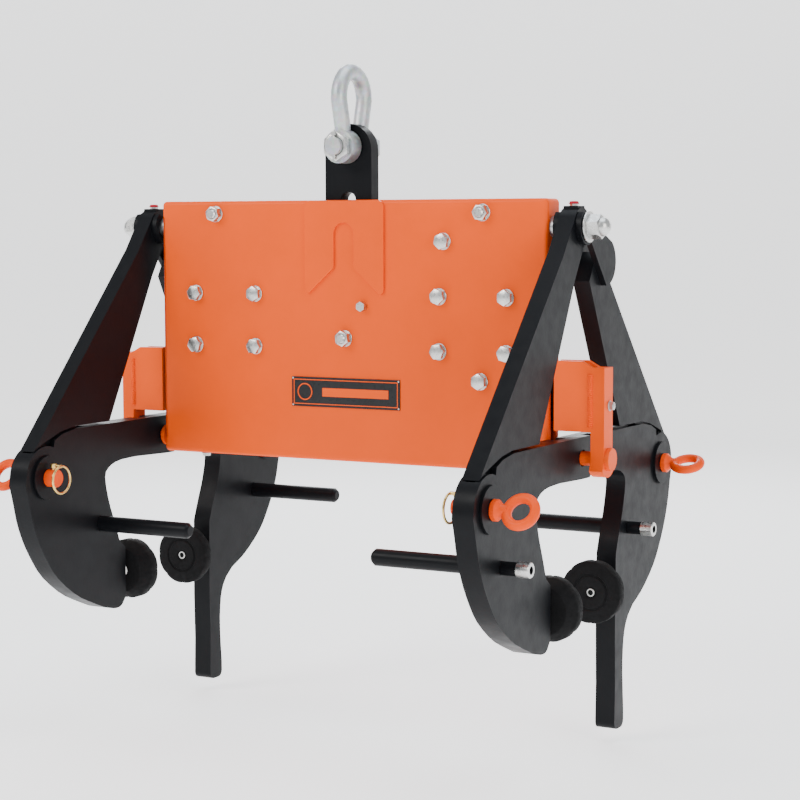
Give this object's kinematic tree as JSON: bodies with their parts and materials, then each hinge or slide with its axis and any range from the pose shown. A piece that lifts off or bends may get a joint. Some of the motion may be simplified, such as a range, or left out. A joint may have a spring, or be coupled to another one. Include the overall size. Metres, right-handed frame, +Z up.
{
  "type": "four-arm slab lifting clamp",
  "caption": "Four-arm clamp hung from a shackle: a sliding housing drives hinged jaws with swivel pads that close on a slab, kerb or block when lifted.",
  "frame": {"origin": "inside crown of the shackle bow, where the crane hook carries the clamp", "axes": "+Z up along the lifting bar, X along the housing, the front with the keyhole plate faces -Y"},
  "size_m": [0.8324, 0.6416, 0.9192],
  "materials": {
    "orange_paint": "smooth safety-orange enamel, slightly glossy",
    "black_paint": "black enamel, satin",
    "zinc_plate": "bright zinc plate",
    "galvanised_steel": "hot-dip galvanised, dull",
    "yellow_zinc": "yellow passivated spring steel",
    "machined_steel": "machined and greased",
    "black_rubber": "moulded, matt",
    "red_plastic": "dust cap",
    "sign_plate": "plain black plate"
  },
  "bodies": {
    "shackle": {"shackle_bow": "galvanised_steel", "shackle_pin": "galvanised_steel", "shackle_nut": "zinc_plate", "shackle_cotter": "zinc_plate"},
    "hanger": {"lifting_bar": "black_paint", "crossbeam": "black_paint", "latch_pin": "machined_steel", "bracket_left": "orange_paint", "bracket_right": "orange_paint", "horn_pin_left": "orange_paint", "horn_pin_right": "orange_paint"},
    "housing": {"housing_front": "orange_paint", "housing_rear": "orange_paint", "keyhole_plate": "orange_paint", "sign_plate": "sign_plate", "travel_stud": "zinc_plate", "pawl_pivot": "zinc_plate", "bar_guide_left": "machined_steel", "tie_bolt_upper_left": "zinc_plate", "tie_bolt_lower_left": "zinc_plate", "top_shaft_left": "machined_steel", "shaft_washer_left": "black_paint", "dome_nut_left": "zinc_plate", "bar_guide_right": "machined_steel", "tie_bolt_upper_right": "zinc_plate", "tie_bolt_lower_right": "zinc_plate", "top_shaft_right": "machined_steel", "shaft_washer_right": "black_paint", "dome_nut_right": "zinc_plate"},
    "pawl": {"latch_pawl": "orange_paint"},
    "arm_front_left": {"arm_front_left": "black_paint", "grease_nipple_left": "red_plastic"},
    "jaw_front_left": {"jaw_front_left": "black_paint", "stop_bar_front_left": "black_paint", "pad_stud_front_left": "zinc_plate"},
    "pad_front_left": {"pad_front_left": "black_rubber"},
    "pull_pin_front_left": {"pull_pin_front_left": "orange_paint"},
    "linch_pin_front_left": {"linch_pin_front_left": "yellow_zinc"},
    "arm_rear_left": {"arm_rear_left": "black_paint"},
    "jaw_rear_left": {"jaw_rear_left": "black_paint", "stop_bar_rear_left": "black_paint", "pad_stud_rear_left": "zinc_plate"},
    "pad_rear_left": {"pad_rear_left": "black_rubber"},
    "pull_pin_rear_left": {"pull_pin_rear_left": "orange_paint"},
    "linch_pin_rear_left": {"linch_pin_rear_left": "yellow_zinc"},
    "arm_front_right": {"arm_front_right": "black_paint", "grease_nipple_right": "red_plastic"},
    "jaw_front_right": {"jaw_front_right": "black_paint", "stop_bar_front_right": "black_paint", "pad_stud_front_right": "zinc_plate"},
    "pad_front_right": {"pad_front_right": "black_rubber"},
    "pull_pin_front_right": {"pull_pin_front_right": "orange_paint"},
    "linch_pin_front_right": {"linch_pin_front_right": "yellow_zinc"},
    "arm_rear_right": {"arm_rear_right": "black_paint"},
    "jaw_rear_right": {"jaw_rear_right": "black_paint", "stop_bar_rear_right": "black_paint", "pad_stud_rear_right": "zinc_plate"},
    "pad_rear_right": {"pad_rear_right": "black_rubber"},
    "pull_pin_rear_right": {"pull_pin_rear_right": "orange_paint"},
    "linch_pin_rear_right": {"linch_pin_rear_right": "yellow_zinc"}
  },
  "joints": [
    {"name": "hanger_swing", "type": "hinge", "parent": "shackle", "child": "hanger", "pos_m": [0, 0, -0.092], "axis": [0, 1, 0], "range_deg": [-35, 35]},
    {"name": "housing_slide", "type": "slide", "parent": "hanger", "child": "housing", "axis": [0, 0, 1], "range_m": [0, 0.044]},
    {"name": "pawl_turn", "type": "hinge", "parent": "housing", "child": "pawl", "pos_m": [0.0288, 0, -0.3112], "axis": [0, 1, 0], "range_deg": [-24, 0], "stiffness_Nm_per_rad": 0.5, "springref_deg": 22.92},
    {"name": "arm_front_left_swing", "type": "hinge", "parent": "housing", "child": "arm_front_left", "pos_m": [-0.336, 0, -0.2024], "axis": [1, 0, 0], "range_deg": [-1, 0]},
    {"name": "jaw_front_left_swing", "type": "hinge", "parent": "arm_front_left", "child": "jaw_front_left", "pos_m": [-0.336, -0.276, -0.5408], "axis": [1, 0, 0], "range_deg": [-9.5, 0]},
    {"name": "pad_front_left_tilt", "type": "hinge", "parent": "jaw_front_left", "child": "pad_front_left", "pos_m": [-0.336, -0.0848, -0.6968], "axis": [1, 0, 0], "range_deg": [-8, 8]},
    {"name": "pull_pin_front_left_turn", "type": "hinge", "parent": "jaw_front_left", "child": "pull_pin_front_left", "pos_m": [-0.336, -0.276, -0.5408], "axis": [1, 0, 0], "range_deg": [-90, 90]},
    {"name": "linch_pin_front_left_slide", "type": "slide", "parent": "pull_pin_front_left", "child": "linch_pin_front_left", "axis": [0, 0, 1], "range_m": [0, 0.04]},
    {"name": "arm_rear_left_swing", "type": "hinge", "parent": "housing", "child": "arm_rear_left", "pos_m": [-0.336, 0, -0.2024], "axis": [1, 0, 0], "range_deg": [0, 1]},
    {"name": "jaw_rear_left_swing", "type": "hinge", "parent": "arm_rear_left", "child": "jaw_rear_left", "pos_m": [-0.336, 0.276, -0.5408], "axis": [1, 0, 0], "range_deg": [0, 9.5]},
    {"name": "pad_rear_left_tilt", "type": "hinge", "parent": "jaw_rear_left", "child": "pad_rear_left", "pos_m": [-0.336, 0.0848, -0.6968], "axis": [1, 0, 0], "range_deg": [-8, 8]},
    {"name": "pull_pin_rear_left_turn", "type": "hinge", "parent": "jaw_rear_left", "child": "pull_pin_rear_left", "pos_m": [-0.336, 0.276, -0.5408], "axis": [1, 0, 0], "range_deg": [-90, 90]},
    {"name": "linch_pin_rear_left_slide", "type": "slide", "parent": "pull_pin_rear_left", "child": "linch_pin_rear_left", "axis": [0, 0, 1], "range_m": [0, 0.04]},
    {"name": "arm_front_right_swing", "type": "hinge", "parent": "housing", "child": "arm_front_right", "pos_m": [0.336, 0, -0.2024], "axis": [1, 0, 0], "range_deg": [-1, 0]},
    {"name": "jaw_front_right_swing", "type": "hinge", "parent": "arm_front_right", "child": "jaw_front_right", "pos_m": [0.336, -0.276, -0.5408], "axis": [1, 0, 0], "range_deg": [-9.5, 0]},
    {"name": "pad_front_right_tilt", "type": "hinge", "parent": "jaw_front_right", "child": "pad_front_right", "pos_m": [0.336, -0.0848, -0.6968], "axis": [1, 0, 0], "range_deg": [-8, 8]},
    {"name": "pull_pin_front_right_turn", "type": "hinge", "parent": "jaw_front_right", "child": "pull_pin_front_right", "pos_m": [0.336, -0.276, -0.5408], "axis": [1, 0, 0], "range_deg": [-90, 90]},
    {"name": "linch_pin_front_right_slide", "type": "slide", "parent": "pull_pin_front_right", "child": "linch_pin_front_right", "axis": [0, 0, 1], "range_m": [0, 0.04]},
    {"name": "arm_rear_right_swing", "type": "hinge", "parent": "housing", "child": "arm_rear_right", "pos_m": [0.336, 0, -0.2024], "axis": [1, 0, 0], "range_deg": [0, 1]},
    {"name": "jaw_rear_right_swing", "type": "hinge", "parent": "arm_rear_right", "child": "jaw_rear_right", "pos_m": [0.336, 0.276, -0.5408], "axis": [1, 0, 0], "range_deg": [0, 9.5]},
    {"name": "pad_rear_right_tilt", "type": "hinge", "parent": "jaw_rear_right", "child": "pad_rear_right", "pos_m": [0.336, 0.0848, -0.6968], "axis": [1, 0, 0], "range_deg": [-8, 8]},
    {"name": "pull_pin_rear_right_turn", "type": "hinge", "parent": "jaw_rear_right", "child": "pull_pin_rear_right", "pos_m": [0.336, 0.276, -0.5408], "axis": [1, 0, 0], "range_deg": [-90, 90]},
    {"name": "linch_pin_rear_right_slide", "type": "slide", "parent": "pull_pin_rear_right", "child": "linch_pin_rear_right", "axis": [0, 0, 1], "range_m": [0, 0.04]}
  ],
  "couplings": [
    {"joint": "arm_front_left_swing", "follows": "housing_slide", "rad_per_m": -0.17125},
    {"joint": "jaw_front_left_swing", "follows": "housing_slide", "rad_per_m": -3.6012},
    {"joint": "arm_rear_left_swing", "follows": "housing_slide", "rad_per_m": 0.17125},
    {"joint": "jaw_rear_left_swing", "follows": "housing_slide", "rad_per_m": 3.6012},
    {"joint": "arm_front_right_swing", "follows": "housing_slide", "rad_per_m": -0.17125},
    {"joint": "jaw_front_right_swing", "follows": "housing_slide", "rad_per_m": -3.6012},
    {"joint": "arm_rear_right_swing", "follows": "housing_slide", "rad_per_m": 0.17125},
    {"joint": "jaw_rear_right_swing", "follows": "housing_slide", "rad_per_m": 3.6012}
  ]
}
